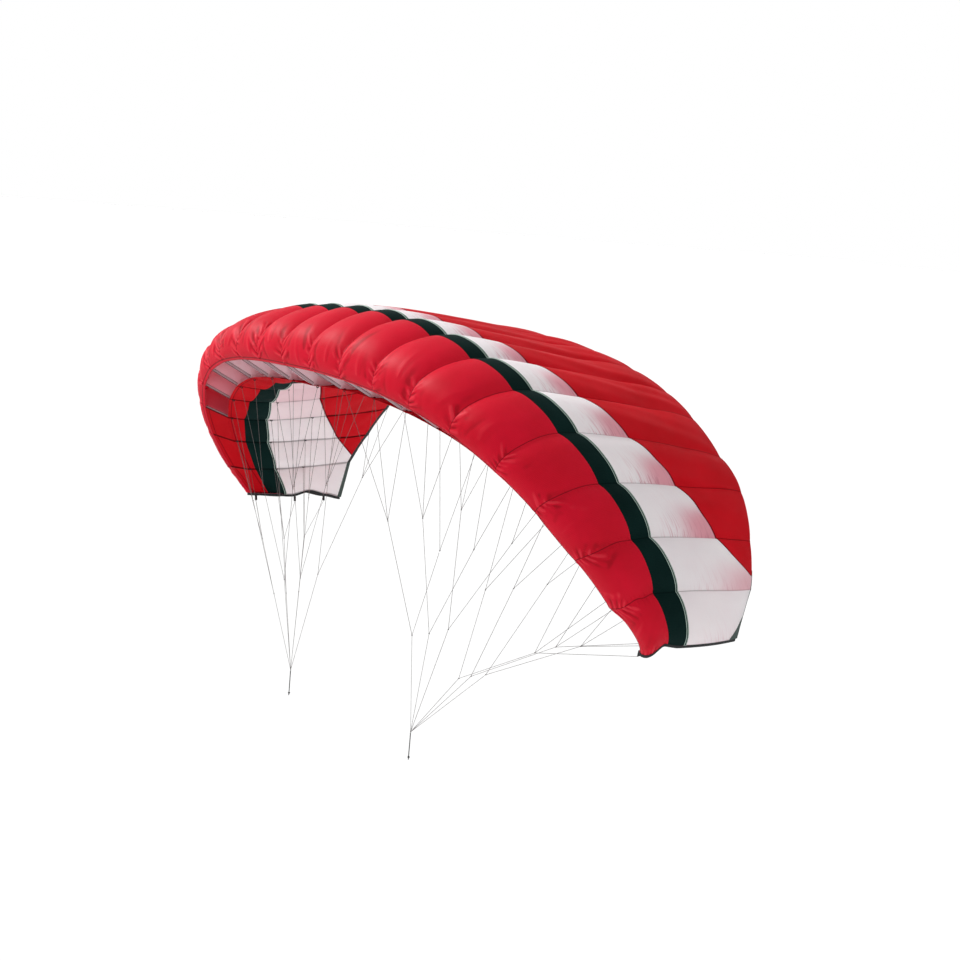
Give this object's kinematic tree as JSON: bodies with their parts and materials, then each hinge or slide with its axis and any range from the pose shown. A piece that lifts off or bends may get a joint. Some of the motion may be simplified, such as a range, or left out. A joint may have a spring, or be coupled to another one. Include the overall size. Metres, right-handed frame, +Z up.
{
  "type": "trainer kite",
  "caption": "Arched ram-air foil trainer kite of inflated cloth cells, open intakes along its nose, tapes at tips and tail, and a cascaded line bridle gathered to two tow points.",
  "frame": {"origin": "midway between the two tow points where the bridle halves meet", "axes": "+X to the right tip across the span, +Y back along the chord, +Z up through the middle of the canopy"},
  "size_m": [3.4246, 1.4251, 1.9407],
  "materials": {
    "red_cloth": "ripstop nylon, satin",
    "rear_red_cloth": "ripstop nylon, satin",
    "dark_cloth": "ripstop nylon, satin",
    "white_cloth": "ripstop nylon, slightly sheer",
    "rib_cloth": "ripstop nylon, slightly sheer",
    "black_tape": "woven polyester tape, matt",
    "grey_tape": "woven polyester tape, matt",
    "grey_line": "braided polyester line"
  },
  "bodies": {
    "root": {"upper_front_red_right": "red_cloth", "upper_front_red_middle": "red_cloth", "upper_front_red_left": "red_cloth", "lower_front_red_right": "red_cloth", "lower_front_red_middle": "red_cloth", "lower_front_red_left": "red_cloth", "nose_panel_right": "red_cloth", "nose_panel_left": "red_cloth", "upper_rear_red_right": "rear_red_cloth", "upper_rear_red_middle": "rear_red_cloth", "upper_rear_red_left": "rear_red_cloth", "lower_rear_red": "rear_red_cloth", "upper_stripe_dark_right": "dark_cloth", "upper_stripe_dark_middle": "dark_cloth", "upper_stripe_dark_left": "dark_cloth", "lower_stripe_dark": "dark_cloth", "upper_band_white_right": "white_cloth", "upper_band_white_middle": "white_cloth", "upper_band_white_left": "white_cloth", "lower_band_white": "white_cloth", "rib_00": "rib_cloth", "rib_01": "rib_cloth", "rib_02": "rib_cloth", "rib_03": "rib_cloth", "rib_04": "rib_cloth", "rib_05": "rib_cloth", "rib_06": "rib_cloth", "rib_07": "rib_cloth", "rib_08": "rib_cloth", "rib_09": "rib_cloth", "rib_10": "rib_cloth", "rib_11": "rib_cloth", "rib_12": "rib_cloth", "rib_13": "rib_cloth", "rib_14": "rib_cloth", "rib_15": "rib_cloth", "rib_16": "rib_cloth", "rib_17": "rib_cloth", "rib_18": "rib_cloth", "rib_19": "rib_cloth", "tail_tape": "black_tape", "tip_binding_right": "black_tape", "tip_binding_left": "black_tape", "tip_tab_right_front": "black_tape", "tip_tab_right_middle": "black_tape", "tip_tab_right_rear": "black_tape", "tip_tab_left_front": "black_tape", "tip_tab_left_middle": "black_tape", "tip_tab_left_rear": "black_tape", "leader_right": "black_tape", "leader_left": "black_tape", "tail_corner_tape_right": "grey_tape", "tail_corner_tape_left": "grey_tape", "bridle_right": "grey_line", "bridle_left": "grey_line"}
  },
  "joints": []
}
